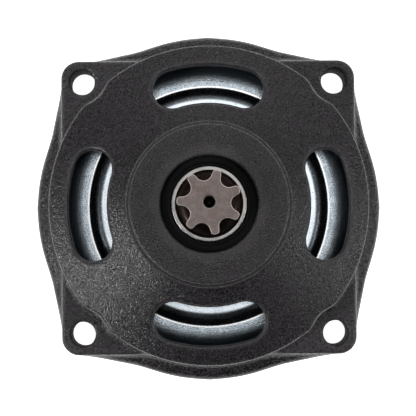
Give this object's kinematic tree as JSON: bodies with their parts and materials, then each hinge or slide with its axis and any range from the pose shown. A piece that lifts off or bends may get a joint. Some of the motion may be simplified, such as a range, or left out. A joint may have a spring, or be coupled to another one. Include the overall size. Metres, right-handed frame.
{
  "type": "clutch drum housing with chain pinion",
  "caption": "Cast clutch drum housing with a square bolt flange, curved cooling slots and a toothed chain pinion on a sealed bearing shaft.",
  "frame": {"origin": "centre of the four mounting holes, on the rear mounting face", "axes": "+Z along the drum shaft towards the pinion, +X and +Y along the sides of the square of mounting holes"},
  "size_m": [0.0976, 0.0976, 0.05],
  "materials": {
    "black_powder_coat": "matte",
    "zinc_plated_steel": "satin",
    "pinion_steel": "satin",
    "rivet_steel": "satin",
    "spring_steel": "satin",
    "bearing_steel": "satin",
    "ball_steel": "polished",
    "cage_brass": "satin",
    "seal_rubber": "matte"
  },
  "bodies": {
    "housing_body": {"housing": "black_powder_coat", "bearing_circlip": "spring_steel", "front_outer_race": "bearing_steel", "rear_outer_race": "bearing_steel", "front_outer_seal": "seal_rubber", "front_inner_seal": "seal_rubber", "rear_outer_seal": "seal_rubber", "rear_inner_seal": "seal_rubber"},
    "drum_body": {"clutch_drum": "zinc_plated_steel", "pinion_shaft": "pinion_steel", "drum_rivets": "rivet_steel", "thrust_washer": "spring_steel", "front_inner_race": "bearing_steel", "rear_inner_race": "bearing_steel"},
    "front_ball_set": {"front_ball_cage": "cage_brass", "front_ball_1": "ball_steel", "front_ball_2": "ball_steel", "front_ball_3": "ball_steel", "front_ball_4": "ball_steel", "front_ball_5": "ball_steel", "front_ball_6": "ball_steel", "front_ball_7": "ball_steel", "front_ball_8": "ball_steel", "front_ball_9": "ball_steel", "front_ball_10": "ball_steel", "front_ball_11": "ball_steel"},
    "rear_ball_set": {"rear_ball_cage": "cage_brass", "rear_ball_1": "ball_steel", "rear_ball_2": "ball_steel", "rear_ball_3": "ball_steel", "rear_ball_4": "ball_steel", "rear_ball_5": "ball_steel", "rear_ball_6": "ball_steel", "rear_ball_7": "ball_steel", "rear_ball_8": "ball_steel", "rear_ball_9": "ball_steel", "rear_ball_10": "ball_steel", "rear_ball_11": "ball_steel"}
  },
  "joints": [
    {"name": "drum_spin", "type": "hinge", "parent": "housing_body", "child": "drum_body", "pos_m": [0, 0, 0], "axis": [0, 0, 1], "continuous": true},
    {"name": "front_ball_set_spin", "type": "hinge", "parent": "housing_body", "child": "front_ball_set", "pos_m": [0, 0, 0], "axis": [0, 0, 1], "continuous": true},
    {"name": "rear_ball_set_spin", "type": "hinge", "parent": "housing_body", "child": "rear_ball_set", "pos_m": [0, 0, 0], "axis": [0, 0, 1], "continuous": true}
  ],
  "couplings": [
    {"joint": "front_ball_set_spin", "follows": "drum_spin", "ratio": 0.42335},
    {"joint": "rear_ball_set_spin", "follows": "drum_spin", "ratio": 0.42335}
  ]
}
